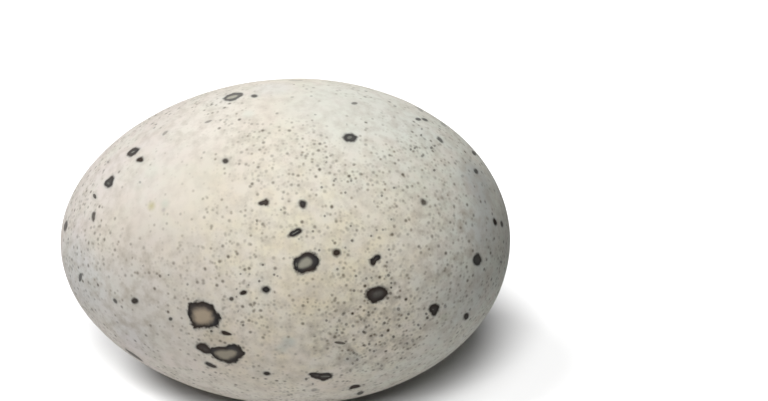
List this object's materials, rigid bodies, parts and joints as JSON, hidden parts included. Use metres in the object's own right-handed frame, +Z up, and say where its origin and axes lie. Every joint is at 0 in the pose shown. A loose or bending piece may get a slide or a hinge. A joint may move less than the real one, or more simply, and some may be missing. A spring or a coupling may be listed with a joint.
{
  "type": "duck egg",
  "caption": "Whole duck egg in its shell, lying on its side, cream with dark ringed spots and fine specks.",
  "frame": {"origin": "middle of the small flat spot that the egg rests on, straight under its centre of mass", "axes": "+Z up; +X towards the blunt end, the long axis lying in the XZ plane with its blunt end 2.5 degrees up"},
  "size_m": [0.063, 0.0454, 0.0453],
  "materials": {
    "eggshell": "matt chalky shell with a faint sheen, cream with dark ringed spots and fine grey-brown specks"
  },
  "bodies": {
    "root": {"egg": "eggshell"}
  },
  "joints": []
}
